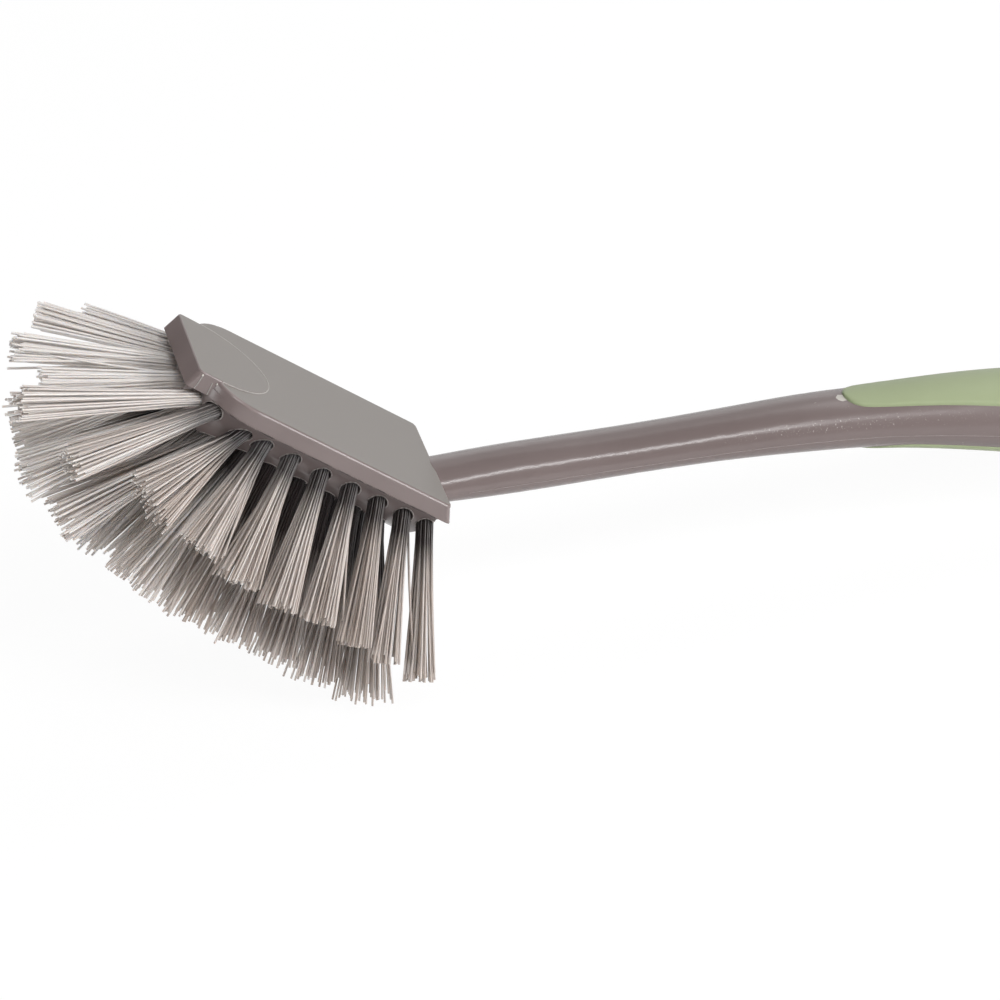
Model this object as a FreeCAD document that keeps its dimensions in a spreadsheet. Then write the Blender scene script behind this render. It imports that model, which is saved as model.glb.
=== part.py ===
import FreeCAD, Part
import math
import os
import Sketcher
from FreeCAD import Placement, Rotation, Vector

# Dish brush: a moulded head and handle, two soft grip pads, and tufts of filament stapled into the head.
# It is modelled in the head's frame: X runs from the front lip to the handle, Y across, Z up from the top face.
# At the end every piece is turned nose-up about Y, to lie on its tuft tips and its handle end on Z = 0.

DIMENSIONS = (
    # Head plate, millimetres
    ("head_length", 67.0),
    ("head_width", 34.5),
    ("rim_height", 4.0),
    ("rim_edge_radius", 0.8),
    ("rear_corner_radius", 1.6),
    ("heel_draft", 2.2),
    ("lip_width", 24.0),
    ("lip_length", 5.2),
    ("lip_corner_radius", 1.0),
    ("lip_edge_radius", 0.4),
    ("lip_rise", 0.45),
    ("lip_draft", 1.0),
    ("tongue_length", 16.0),
    ("tongue_fade", 0.06),
    ("shoulder_length", 9.8),
    # Tuft block under the plate
    ("rim_overhang", 1.45),
    ("block_depth", 12.2),
    ("block_front_margin", 1.0),
    ("block_nose_length", 11.5),
    ("block_rear_reach", 1.2),
    ("block_tail_length", 2.0),
    # Handle, with angles in degrees
    ("neck_angle", 37.8),
    ("neck_drop", 4.7),
    ("neck_embed", 6.0),
    ("neck_length", 73.0),
    ("neck_width", 13.4),
    ("neck_height", 9.9),
    ("neck_root_height", 8.8),
    ("neck_root_length", 14.0),
    ("bow_radius", 360.0),
    ("bow_length", 142.0),
    ("grip_width", 22.6),
    ("grip_height", 18.8),
    ("end_round_radius", 4.6),
    ("hang_hole_diameter", 7.0),
    ("hang_hole_margin", 12.0),
    # Grip pads
    ("pad_depth", 1.2),
    ("top_pad_width", 17.2),
    ("top_pad_proud", 0.6),
    ("under_pad_width", 17.8),
    ("under_pad_proud", 0.4),
    # Tufts and their anchor wires
    ("hole_diameter", 4.2),
    ("hole_depth", 5.5),
    ("tuft_clearance", 0.08),
    ("tuft_collar", 1.6),
    ("tuft_tip_diameter", 7.4),
    ("outer_tuft_length", 37.6),
    ("inner_tuft_length", 44.0),
    ("nose_tuft_length", 39.0),
    ("outer_splay_angle", 29.8),
    ("inner_splay_angle", 13.3),
    ("wire_thickness", 0.4),
    ("wire_height", 1.9),
    ("wire_bite", 0.5),
    ("wire_clearance", 0.03),
    ("tuft_fold", 0.9),
    ("cut_overrun", 3.0),
)

# Distance of the side rows out from the middle, as shares of the block's half width
OUTER_ROW_SHARE = 0.895
INNER_ROW_SHARE = 0.557

# Tuft rows: columns from the nose to the rear as shares of the block's straight stretch, forward lean of each
# column in degrees, and its trimmed length as a share of the row's longest tuft
OUTER_COLUMN_SHARES = (0.058, 0.166, 0.309, 0.463, 0.611, 0.75, 0.881, 0.996)
OUTER_LEANS = (34.0, 16.4, 2.6, -11.2, -17.4, -21.7, -24.8, -29.1)
OUTER_TRIM_SHARES = (0.771, 0.777, 0.815, 0.84, 0.861, 0.892, 0.932, 0.955)
INNER_COLUMN_SHARES = (0.019, 0.162, 0.296, 0.445, 0.587, 0.721, 0.844)
INNER_LEANS = (39.1, 11.3, -1.0, -8.7, -15.4, -21.1, -26.7)
INNER_TRIM_SHARES = (0.861, 0.846, 0.876, 0.896, 0.911, 0.942, 0.978)
CENTRE_COLUMN_SHARES = (0.054, 0.162, 0.296, 0.445, 0.587, 0.721, 0.844)
CENTRE_LEANS = (14.4, 7.2, -3.1, -8.8, -15.5, -21.1, -26.7)
CENTRE_TRIM_SHARES = (0.854, 0.853, 0.868, 0.883, 0.899, 0.92, 0.946)

# Tufts round the block's nose: name, distance out from the middle and depth below the plate as shares of the
# block's half width and depth; then for left and right, which use has bent apart, forward lean and sideways splay
# in degrees and trim share of the nose tufts' length
NOSE_SHARES = (
    ("nose_corner", 0.823, 0.197, (51.0, 18.0, 0.9), (70.0, 30.0, 0.69)),
    ("nose_front", 0.582, 0.23, (69.0, 14.0, 1.1), (69.0, 23.0, 0.8)),
    ("nose_middle", 0.203, 0.23, (62.0, -2.0, 0.8), (70.0, 2.0, 0.945)),
    ("nose_under", 0.33, 0.7, (46.0, 14.0, 0.97), (41.0, 2.0, 0.94)),
)

# Handle sections: place as a share of the bow's length, fullness as a share of the way from neck to grip size
SECTION_SHARES = (
    (0.0, 0.1),
    (0.136, 0.25),
    (0.21, 0.31),
    (0.336, 0.56),
    (0.47, 0.85),
    (0.6, 0.99),
    (0.69, 1.0),
    (0.8, 0.86),
    (0.9, 0.6),
    (1.0, 0.36),
)

# Grip pads: start and length of each as shares of the bow's length
PAD_PLACE_SHARES = {"top_pad": (0.16, 0.662), "under_pad": (0.19, 0.62)}

# Grip pad outlines, one side of each: place as a share of the pad's length, half width as a share of its widest
PAD_OUTLINE_SHARES = {
    "top_pad": (
        (0.008, 0.27), (0.03, 0.44), (0.07, 0.53), (0.2, 0.655), (0.37, 0.85),
        (0.6, 1.0), (0.8, 0.9), (0.95, 0.6), (0.988, 0.32),
    ),
    "under_pad": (
        (0.012, 0.34), (0.05, 0.6), (0.2, 0.85), (0.4, 0.97),
        (0.6, 1.0), (0.8, 0.9), (0.95, 0.6), (0.988, 0.32),
    ),
}

OVAL_POINTS = 24
RIM_POINTS = 24
PITCH_ROUNDS = 8
MESH_TOLERANCE_SHARE = 0.01
EDGE_NEAR_SHARE = 0.01

document = FreeCAD.newDocument("dish_brush")
sheet = document.addObject("Spreadsheet::Sheet", "dims")
for row, (alias, value) in enumerate(DIMENSIONS, start=1):
    sheet.set(f"A{row}", alias)
    sheet.set(f"B{row}", str(value))
    sheet.setAlias(f"B{row}", alias)
document.recompute()


def size(alias):
    return float(sheet.get(alias))


def add(kind, name, sources=None, **bindings):
    # A document object whose properties follow expressions of the sheet's sizes
    item = document.addObject(kind, name)
    for prop, expression in bindings.items():
        item.setExpression(prop, expression)
    for prop, value in (sources or {}).items():
        setattr(item, prop, value)
    return item


def feature(name, shape):
    item = document.addObject("Part::Feature", name)
    item.Shape = shape
    return item


# Head plate


def plate_sketch(body, name):
    # Plan of the head: lip, shoulder arcs, straight sides, rear end
    length, half = size("head_length"), size("head_width") / 2
    lip, lip_half = size("lip_length"), size("lip_width") / 2
    shoulder_end = lip + size("shoulder_length")
    flare = half - lip_half
    radius = (size("shoulder_length") ** 2 + flare ** 2) / (2 * flare)
    centre = Vector(shoulder_end, half - radius, 0)
    reach = math.atan2(lip_half - centre.y, lip - centre.x)
    sketch = body.newObject("Sketcher::SketchObject", name)
    plane = [item for item in body.Origin.OriginFeatures if item.Role == "XY_Plane"][0]
    sketch.AttachmentSupport = (plane, [""])
    sketch.MapMode = "FlatFace"
    front = sketch.addGeometry(Part.LineSegment(Vector(0, -lip_half, 0), Vector(0, lip_half, 0)))
    rear = sketch.addGeometry(Part.LineSegment(Vector(length, half, 0), Vector(length, -half, 0)))
    sides = []
    for hand in (1, -1):
        lip_line = Part.LineSegment(Vector(0, hand * lip_half, 0), Vector(lip, hand * lip_half, 0))
        edge_line = Part.LineSegment(Vector(shoulder_end, hand * half, 0), Vector(length, hand * half, 0))
        circle = Part.Circle(Vector(centre.x, hand * centre.y, 0), Vector(0, 0, 1), radius)
        turns = (math.pi / 2, reach) if hand > 0 else (-reach, -math.pi / 2)
        arc = Part.ArcOfCircle(circle, *turns)
        sides.append([sketch.addGeometry(item) for item in (lip_line, arc, edge_line)])
    for (lip_side, shoulder, edge), corner, outer, inner in zip(sides, (2, 1), (1, 2), (2, 1)):
        link(sketch, "Coincident", front, corner, lip_side, 1)
        link(sketch, "Coincident", lip_side, 2, shoulder, inner)
        link(sketch, "Tangent", shoulder, outer, edge, 1)
        link(sketch, "Coincident", edge, 2, rear, outer)
    (lip_right, _, edge_right), (lip_left, _, edge_left) = sides
    for right, left in ((lip_right, lip_left), (edge_right, edge_left)):
        link(sketch, "Horizontal", right)
        link(sketch, "Symmetric", right, 1, left, 1, -1)
        link(sketch, "Symmetric", right, 2, left, 2, -1)
    link(sketch, "PointOnObject", front, 1, -2)
    drive(sketch, "DistanceY", (front, 1, front, 2), "lip_width", 2 * lip_half)
    drive(sketch, "DistanceX", (lip_right, 1, lip_right, 2), "lip_length", lip)
    drive(sketch, "DistanceX", (lip_right, 2, edge_right, 1), "shoulder_length", size("shoulder_length"))
    drive(sketch, "DistanceY", (rear, 2, rear, 1), "head_width", 2 * half)
    drive(sketch, "DistanceX", (front, 2, rear, 1), "head_length", length)
    return sketch


def link(sketch, kind, *places):
    sketch.addConstraint(Sketcher.Constraint(kind, *places))


def drive(sketch, kind, places, alias, value):
    # A dimension of the sketch that follows the sheet's size of the same name
    index = sketch.addConstraint(Sketcher.Constraint(kind, *places, value))
    sketch.renameConstraint(index, alias)
    sketch.setExpression(f"Constraints.{alias}", f"dims.{alias}")


def edge_names(item, test):
    return [f"Edge{i}" for i, edge in enumerate(item.Shape.Edges, start=1) if test(edge)]


def at_corner(edge, x, half):
    # True for the upright edge at a plan corner
    near = EDGE_NEAR_SHARE * size("rim_height")
    box = edge.BoundBox
    upright = box.XLength < near and box.YLength < near
    return upright and abs(box.XMin - x) < near and abs(abs(box.YMin) - half) < near


def at_height(edge, height):
    near = EDGE_NEAR_SHARE * size("rim_height")
    box = edge.BoundBox
    return abs(box.ZMin - height) < near and abs(box.ZMax - height) < near


def plate(name, height, edge_radius):
    # The plan padded up from the plate's underside, with rounded corners and a rounded top edge
    body = document.addObject("PartDesign::Body", name)
    sketch = plate_sketch(body, name + "_plan")
    pad = body.newObject("PartDesign::Pad", name + "_pad")
    pad.Profile = sketch
    pad.setExpression("Length", height)
    document.recompute()
    rear = edge_names(pad, lambda e: at_corner(e, size("head_length"), size("head_width") / 2))
    rear_round = body.newObject("PartDesign::Fillet", name + "_rear_corners")
    rear_round.Base = (pad, rear)
    rear_round.setExpression("Radius", "dims.rear_corner_radius")
    document.recompute()
    front = edge_names(rear_round, lambda e: at_corner(e, 0, size("lip_width") / 2))
    lip_round = body.newObject("PartDesign::Fillet", name + "_lip_corners")
    lip_round.Base = (rear_round, front)
    lip_round.setExpression("Radius", "dims.lip_corner_radius")
    document.recompute()
    top = edge_names(lip_round, lambda e: at_height(e, lip_round.Shape.BoundBox.ZMax))
    top_round = body.newObject("PartDesign::Fillet", name + "_top_edge")
    top_round.Base = (lip_round, top)
    top_round.setExpression("Radius", edge_radius)
    body.Tip = top_round
    body.setExpression("Placement.Base.z", "-dims.rim_height")
    document.recompute()
    return body


def lip_body():
    # The lip and its tongue: highest at the front, fading out at the tongue's end, leaning out down the front face
    half, low = size("lip_width") / 2, -size("rim_height")
    end = size("lip_length") + size("tongue_length")
    front, past = -size("lip_draft"), end + size("cut_overrun")
    slope = (size("lip_rise") - size("tongue_fade")) / end
    profile = [
        Vector(front, -2 * half, low),
        Vector(0, -2 * half, size("lip_rise")),
        Vector(past, -2 * half, size("lip_rise") - slope * past),
        Vector(past, -2 * half, low),
    ]
    wedge_face = Part.Face(Part.makePolygon([*profile, profile[0]]))
    wedge = feature("lip_wedge", wedge_face.extrude(Vector(0, 4 * half, 0)))
    corners = [
        Vector(size("lip_length"), half, low), Vector(front, half, low),
        Vector(front, -half, low), Vector(size("lip_length"), -half, low),
    ]
    centre = Vector(size("lip_length"), 0, low)
    outline = [
        *[Part.makeLine(*pair) for pair in zip(corners, corners[1:])],
        *[quarter_oval(centre, size("tongue_length"), hand * half) for hand in (1, -1)],
    ]
    plan_face = Part.Face(Part.Wire(Part.sortEdges(outline)[0]))
    plan = feature("lip_plan", plan_face.extrude(Vector(0, 0, 2 * size("rim_height"))))
    sharp = add("Part::Common", "lip_sharp", {"Base": plan, "Tool": wedge})
    document.recompute()
    near = EDGE_NEAR_SHARE * size("rim_height")
    upright = [
        i for i, edge in enumerate(sharp.Shape.Edges, start=1)
        if edge.BoundBox.XMax < near and edge.BoundBox.YLength < near
    ]
    cornered = add("Part::Fillet", "lip_cornered", {"Base": sharp})
    cornered.Edges = [(i, size("lip_corner_radius"), size("lip_corner_radius")) for i in upright]
    document.recompute()
    top = [i for i, edge in enumerate(cornered.Shape.Edges, start=1) if edge.BoundBox.ZMin > 0]
    lip = add("Part::Fillet", "lip", {"Base": cornered})
    lip.Edges = [(i, size("lip_edge_radius"), size("lip_edge_radius")) for i in top]
    return lip


def heel_plan(height, end):
    # Plan of the plate's rear end at one height, with rounded corners
    half, radius = size("head_width") / 2, size("rear_corner_radius")
    start, bend = size("head_length") - 2 * radius, end - radius
    corners = []
    for hand in (-1, 1):
        middle = Vector(bend, hand * (half - radius), height)
        corners.append(Part.makeCircle(radius, middle, Vector(0, 0, 1), *((270, 360) if hand < 0 else (0, 90))))
    lines = [
        Part.makeLine(Vector(start, half, height), Vector(start, -half, height)),
        Part.makeLine(Vector(start, -half, height), Vector(bend, -half, height)),
        Part.makeLine(Vector(end, radius - half, height), Vector(end, half - radius, height)),
        Part.makeLine(Vector(bend, half, height), Vector(start, half, height)),
    ]
    return Part.Wire(Part.sortEdges([lines[0], lines[1], corners[0], lines[2], corners[1], lines[3]])[0])


def heel_body():
    # The plate's rear wall leans out on its way down
    foot = heel_plan(-size("rim_height"), size("head_length") + size("heel_draft"))
    brow = heel_plan(-size("rim_edge_radius"), size("head_length"))
    return feature("heel", Part.makeLoft([foot, brow], True, True))


def head_plate():
    return [plate("plate", "dims.rim_height", "dims.rim_edge_radius"), lip_body(), heel_body()]


# Tuft block


def block_half_width():
    return size("head_width") / 2 - size("rim_overhang")


def block_radius():
    return (block_half_width() ** 2 + size("block_depth") ** 2) / (2 * size("block_depth"))


def block_axis_height():
    return block_radius() - size("rim_height") - size("block_depth")


def block_front():
    return size("block_front_margin") + size("block_nose_length")


def block_rear():
    return size("head_length") + size("block_rear_reach") - size("block_tail_length")


def quarter_oval(centre, along, out):
    # Quarter of a unit circle, stretched to reach along X and out along Y from its centre
    arc = Part.makeCircle(1, Vector(0, 0, 0), Vector(0, 0, 1), 0, 90)
    stretch = FreeCAD.Matrix()
    stretch.scale(along, out, 1)
    stretch.move(centre)
    return arc.transformGeometry(stretch)


def tuft_block():
    # A round-bottomed hull with a long domed nose and a short domed tail, turned, then cut off under the plate
    radius, height = block_radius(), block_axis_height()
    start, finish = Vector(block_front(), 0, height), Vector(block_rear(), 0, height)
    side = Vector(0, radius, 0)
    nose, tail = size("block_nose_length"), size("block_tail_length")
    ends = (start - Vector(nose, 0, 0), finish + Vector(tail, 0, 0))
    outline = [
        quarter_oval(start, -nose, radius),
        Part.makeLine(start + side, finish + side),
        quarter_oval(finish, tail, radius),
        Part.makeLine(*ends),
    ]
    profile = feature("block_profile", Part.Face(Part.Wire(Part.sortEdges(outline)[0])))
    whole = add("Part::Revolution", "block_whole", {"Source": profile, "Base": start, "Axis": Vector(-1, 0, 0)})
    whole.Angle = 180
    keep = add(
        "Part::Box", "block_keep",
        Length="dims.head_length + dims.heel_draft", Width="dims.head_width",
        Height="dims.block_depth + dims.rim_height / 2 + dims.cut_overrun",
    )
    floor = -size("rim_height") - size("block_depth") - size("cut_overrun")
    keep.Placement.Base = Vector(0, -size("head_width") / 2, floor)
    return add("Part::Common", "block", {"Base": whole, "Tool": keep})


def hull_height(x, y):
    # Height of the hull's underside at a point of the straight stretch or the tail
    radius = block_radius()
    past = max(x - block_rear(), 0) / size("block_tail_length")
    return block_axis_height() - math.sqrt(radius ** 2 * (1 - past ** 2) - y ** 2)


def hull_front(y, height):
    # Where the domed nose stands at a given side offset and height
    reach = (y ** 2 + (height - block_axis_height()) ** 2) / block_radius() ** 2
    return block_front() - size("block_nose_length") * math.sqrt(1 - reach)


# Handle


def axis_point(distance):
    # Place and rising angle of the handle's axis, at a distance from the head's rear face
    angle = math.radians(size("neck_angle"))
    root = Vector(size("head_length"), 0, -size("neck_drop"))
    straight = min(distance, size("neck_length"))
    place = root + Vector(math.cos(angle), 0, math.sin(angle)) * straight
    turn = (distance - straight) / size("bow_radius")
    chord = 2 * size("bow_radius") * math.sin(turn / 2)
    chord_angle = angle - turn / 2
    return place + Vector(math.cos(chord_angle), 0, math.sin(chord_angle)) * chord, angle - turn


def axis_frame(distance):
    # Local X along the handle, Y across, Z up out of its back
    place, angle = axis_point(distance)
    return Placement(place, Rotation(Vector(0, 1, 0), -math.degrees(angle)))


def oval(distance, width, height):
    # A handle section square to the axis
    frame = axis_frame(distance)
    points = []
    for i in range(OVAL_POINTS):
        turn = 2 * math.pi * i / OVAL_POINTS
        points.append(frame.multVec(Vector(0, width / 2 * math.cos(turn), height / 2 * math.sin(turn))))
    curve = Part.BSplineCurve()
    curve.interpolate(Points=points, PeriodicFlag=True)
    return Part.Wire(curve.toShape())


def handle_sections(extra):
    # Distance, width and height of each section, grown all round by extra
    neck = (size("neck_width"), size("neck_height"))
    grip = (size("grip_width"), size("grip_height"))
    rows = [
        (-size("neck_embed"), neck[0], size("neck_root_height")),
        (0, neck[0], size("neck_root_height")),
        (size("neck_root_length"), *neck),
        ((size("neck_root_length") + size("neck_length")) / 2, *neck),
    ]
    for place, fullness in SECTION_SHARES:
        full = [thin + fullness * (wide - thin) for thin, wide in zip(neck, grip)]
        rows.append((size("neck_length") + place * size("bow_length"), *full))
    return [(distance, width + 2 * extra, height + 2 * extra) for distance, width, height in rows]


def handle_loft(extra):
    return Part.makeLoft([oval(*row) for row in handle_sections(extra)], True, False)


def handle_end():
    return size("neck_length") + size("bow_length")


def handle():
    # The loft from inside the head to the end, whose rim is rounded over
    loft = feature("handle_loft", handle_loft(0))
    tip = axis_frame(handle_end())
    rounded = add("Part::Fillet", "handle", {"Base": loft})
    radius = size("end_round_radius")
    flat = [face for face in loft.Shape.Faces if (face.CenterOfMass - tip.Base).Length < radius][0]
    rims = [i for i, e in enumerate(loft.Shape.Edges, start=1) if any(e.isSame(rim) for rim in flat.Edges)]
    rounded.Edges = [(i, radius, radius) for i in rims]
    return rounded


def hang_hole():
    frame = axis_frame(handle_end() - size("hang_hole_margin"))
    hole = add("Part::Cylinder", "hang_hole", Radius="dims.hang_hole_diameter / 2", Height="2 * dims.grip_height")
    hole.Placement = frame * Placement(Vector(0, 0, -size("grip_height")), Rotation())
    return hole


# Grip pads


def pad_prism(name):
    # Everything straight above and below the pad's plan outline, with its blunt nose and rounded tail
    start, length = [share * size("bow_length") for share in PAD_PLACE_SHARES[name]]
    half = size(name + "_width") / 2
    side = [(length * (place - 0.5), half * wide) for place, wide in PAD_OUTLINE_SHARES[name]]
    loop = [(-length / 2, 0), *side, (length / 2, 0), *[(x, -y) for x, y in reversed(side)]]
    frame = axis_frame(size("neck_length") + start + length / 2)
    reach = size("grip_height")
    curve = Part.BSplineCurve()
    curve.interpolate(Points=[frame.multVec(Vector(x, y, -reach)) for x, y in loop], PeriodicFlag=True)
    up = frame.Rotation.multVec(Vector(0, 0, 1))
    return feature(name + "_prism", Part.Face(Part.Wire(curve.toShape())).extrude(up * 2 * reach))


def bow_core():
    # The cylinder whose outside is above the bowed handle's axis, and whose inside is below it
    place, angle = axis_point(size("neck_length"))
    centre = place + Vector(math.sin(angle), 0, -math.cos(angle)) * size("bow_radius")
    core = add("Part::Cylinder", "bow_core", Radius="dims.bow_radius", Height="2 * dims.grip_width")
    core.Placement = Placement(centre + Vector(0, size("grip_width"), 0), Rotation(Vector(1, 0, 0), 90))
    return core


def grip_pad(name, side_of_bow, core, lofts):
    # The pad fills a pocket in the handle and stands proud of it
    floor, beyond = lofts
    skin = feature(name + "_skin_loft", handle_loft(size(name + "_proud")))
    region = add(side_of_bow, name + "_region", {"Base": pad_prism(name), "Tool": core})
    pocket_block = add("Part::Common", name + "_pocket_block", {"Base": beyond, "Tool": region})
    pocket = add("Part::Cut", name + "_pocket", {"Base": pocket_block, "Tool": floor})
    pad_block = add("Part::Common", name + "_block", {"Base": skin, "Tool": region})
    pad = add("Part::Cut", name, {"Base": pad_block, "Tool": floor})
    return pad, pocket


def grip_pads():
    lofts = (
        feature("pad_floor_loft", handle_loft(-size("pad_depth"))),
        feature("pad_pocket_loft", handle_loft(size("pad_depth"))),
    )
    core = bow_core()
    top = grip_pad("top_pad", "Part::Cut", core, lofts)
    under = grip_pad("under_pad", "Part::Common", core, lofts)
    return top, under


# Tufts


def tuft_frame(mouth, lean, splay, side, upright):
    # Local Z along the tuft, out of the block; local X along its anchor wire
    lean, splay = math.radians(lean), math.radians(splay)
    out = Vector(
        -math.sin(lean) * math.cos(splay),
        side * math.sin(splay),
        -math.cos(lean) * math.cos(splay),
    )
    wire = out.cross(Vector(0, 1, 0) if upright else Vector(1, 0, 0)).normalize()
    return Placement(mouth, Rotation(wire, out.cross(wire), out, "ZXY"))


def row_tufts(label, offset, side, splay, row_length, columns):
    straight = block_rear() - block_front()
    for column, (share, lean, trim) in enumerate(zip(*columns), start=1):
        x = block_front() + share * straight
        mouth = Vector(x, side * offset, hull_height(x, offset))
        yield f"tuft_{label}_{column}", tuft_frame(mouth, lean, splay, side, False), f"dims.{row_length} * {trim}"


def nose_tufts(label, side):
    for name, out, down, left, right in NOSE_SHARES:
        lean, splay, trim = left if side < 0 else right
        y = side * out * block_half_width()
        height = -size("rim_height") - down * size("block_depth")
        mouth = Vector(hull_front(y, height), y, height)
        yield f"tuft_{label}_{name}", tuft_frame(mouth, lean, splay, side, True), f"dims.nose_tuft_length * {trim}"


def tuft_layout():
    outer = (size("outer_splay_angle"), "outer_tuft_length", (OUTER_COLUMN_SHARES, OUTER_LEANS, OUTER_TRIM_SHARES))
    inner = (size("inner_splay_angle"), "inner_tuft_length", (INNER_COLUMN_SHARES, INNER_LEANS, INNER_TRIM_SHARES))
    centre = (0, "inner_tuft_length", (CENTRE_COLUMN_SHARES, CENTRE_LEANS, CENTRE_TRIM_SHARES))
    for label, side in (("left", -1), ("right", 1)):
        yield from row_tufts(label + "_outer", OUTER_ROW_SHARE * block_half_width(), side, *outer)
        yield from row_tufts(label + "_inner", INNER_ROW_SHARE * block_half_width(), side, *inner)
        yield from nose_tufts(label, side)
    yield from row_tufts("centre", 0, 1, *centre)


def shifted(frame, x, y, z):
    return frame * Placement(Vector(x, y, z), Rotation())


def tuft(name, frame, length):
    # A tuft folded round its anchor wire: round root in the hole, flared bundle outside; and the socket it needs
    depth, clear = size("hole_depth"), size("tuft_clearance")
    hole = add(
        "Part::Cylinder", name + "_hole",
        Radius="dims.hole_diameter / 2", Height="dims.hole_depth + dims.cut_overrun",
    )
    hole.Placement = shifted(frame, 0, 0, -depth)
    notch = add(
        "Part::Box", name + "_notch",
        Length="dims.hole_diameter + 2 * dims.wire_bite + 2 * dims.wire_clearance",
        Width="dims.wire_thickness + 2 * dims.wire_clearance",
        Height="dims.wire_height + 2 * dims.wire_clearance",
    )
    wire = add(
        "Part::Box", name + "_wire",
        Length="dims.hole_diameter + 2 * dims.wire_bite",
        Width="dims.wire_thickness",
        Height="dims.wire_height",
    )
    half_wire = size("hole_diameter") / 2 + size("wire_bite")
    gap = size("wire_clearance")
    low = size("tuft_fold") - depth
    wire.Placement = shifted(frame, -half_wire, -size("wire_thickness") / 2, low)
    notch.Placement = shifted(frame, -half_wire - gap, -size("wire_thickness") / 2 - gap, low - gap)
    socket = add("Part::Fuse", name + "_socket", {"Base": hole, "Tool": notch})
    root = add(
        "Part::Cylinder", name + "_root",
        Radius="dims.hole_diameter / 2 - dims.tuft_clearance",
        Height="dims.hole_depth - dims.tuft_clearance + dims.tuft_collar",
    )
    root.Placement = shifted(frame, 0, 0, clear - depth)
    flare = add(
        "Part::Cone", name + "_flare",
        Radius1="dims.hole_diameter / 2 - dims.tuft_clearance",
        Radius2="dims.tuft_tip_diameter / 2",
        Height=f"{length} - dims.tuft_collar",
    )
    flare.Placement = shifted(frame, 0, 0, size("tuft_collar"))
    bundle = add("Part::Fuse", name + "_bundle", {"Base": root, "Tool": flare})
    return add("Part::Cut", name, {"Base": bundle, "Tool": notch}), socket, wire, flare


# The brush at rest


def tip_points(flare):
    # Points round the cut end of a tuft
    radius, height = flare.Radius2.Value, flare.Height.Value
    turns = [2 * math.pi * i / RIM_POINTS for i in range(RIM_POINTS)]
    return [flare.Placement.multVec(Vector(radius * math.cos(a), radius * math.sin(a), height)) for a in turns]


def lowest(points, turn):
    return min(points, key=lambda point: turn.multVec(point).z)


def rest_turn(flares, body):
    # The turn about Y that brings the lowest tuft tips and the handle's underside to one level
    tips = [point for flare in flares for point in tip_points(flare)]
    fineness = MESH_TOLERANCE_SHARE * size("neck_height")
    grip = body.Shape.tessellate(fineness)[0]
    pitch = size("neck_angle")
    for _ in range(PITCH_ROUNDS):
        turn = Rotation(Vector(0, 1, 0), pitch)
        heel, toe = lowest(grip, turn), lowest(tips, turn)
        pitch = math.degrees(math.atan2(heel.z - toe.z, heel.x - toe.x))
    return Rotation(Vector(0, 1, 0), pitch)


def check(items):
    for item in document.Objects:
        if "Invalid" in item.State or "Error" in item.State:
            raise RuntimeError(f"{item.Label} did not build: {item.State}")
    for item in items:
        if item.Shape.isNull() or not item.Shape.isValid():
            raise RuntimeError(f"{item.Label} has no valid shape")


def main():
    handle_body = handle()
    blanks = [*head_plate(), tuft_block(), handle_body]
    (top_pad, top_pocket), (under_pad, under_pocket) = grip_pads()
    rows = [tuft(name, frame, length) for name, frame, length in tuft_layout()]
    tufts = [row[0] for row in rows]
    sockets = add("Part::Compound", "sockets", {"Links": [row[1] for row in rows]})
    wires = add("Part::Compound", "anchor_wires", {"Links": [row[2] for row in rows]})
    solid = add("Part::MultiFuse", "moulding_blank", {"Shapes": blanks})
    cuts = add("Part::Compound", "moulding_cuts", {"Links": [sockets, top_pocket, under_pocket, hang_hole()]})
    moulding = add("Part::Cut", "moulding", {"Base": solid, "Tool": cuts})
    moulding.Label = "head_and_handle"
    top_pad.Label = "grip_pad_top"
    under_pad.Label = "grip_pad_under"
    pieces = [moulding, top_pad, under_pad, wires, *tufts]
    document.recompute()
    check(pieces)

    turn = rest_turn([row[3] for row in rows], handle_body)
    box = FreeCAD.BoundBox()
    for piece in pieces:
        piece.Placement = Placement(Vector(0, 0, 0), turn)
        box.add(piece.Shape.optimalBoundingBox())
    shift = Vector(-box.Center.x, -box.Center.y, -box.ZMin)
    for piece in pieces:
        piece.Placement = Placement(shift, turn)

    os.makedirs("parts", exist_ok=True)
    for piece in pieces:
        piece.Shape.exportStep(f"parts/{piece.Label}.step")
    hole = moulding.Placement * axis_frame(handle_end() - size("hang_hole_margin"))
    print("pitch", round(math.degrees(turn.Angle), 3), "box", box)
    print("head origin", moulding.Placement.Base)
    print("hang hole", hole.Base, hole.Rotation.multVec(Vector(0, 0, 1)))
    print("pieces", len(pieces))


main()
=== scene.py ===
import math
import random

import bmesh
import bpy
import numpy as np
from mathutils import Euler, Matrix, Vector
from mathutils.bvhtree import BVHTree


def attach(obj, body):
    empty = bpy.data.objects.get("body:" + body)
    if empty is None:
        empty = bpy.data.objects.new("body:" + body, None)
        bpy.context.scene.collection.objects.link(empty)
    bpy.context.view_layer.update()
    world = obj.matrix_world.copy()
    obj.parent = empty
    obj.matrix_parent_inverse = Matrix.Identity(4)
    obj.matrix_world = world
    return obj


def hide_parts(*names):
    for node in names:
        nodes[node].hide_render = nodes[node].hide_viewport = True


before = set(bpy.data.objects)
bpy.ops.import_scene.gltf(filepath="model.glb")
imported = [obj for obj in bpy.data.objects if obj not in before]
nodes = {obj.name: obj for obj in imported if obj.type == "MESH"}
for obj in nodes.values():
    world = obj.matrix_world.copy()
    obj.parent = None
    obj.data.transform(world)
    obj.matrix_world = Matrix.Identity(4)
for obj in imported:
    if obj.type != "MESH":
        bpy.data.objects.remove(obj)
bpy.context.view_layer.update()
scene = bpy.context.scene
mm = 0.001
print("frame loaded:", len(nodes), "CAD nodes")

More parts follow.
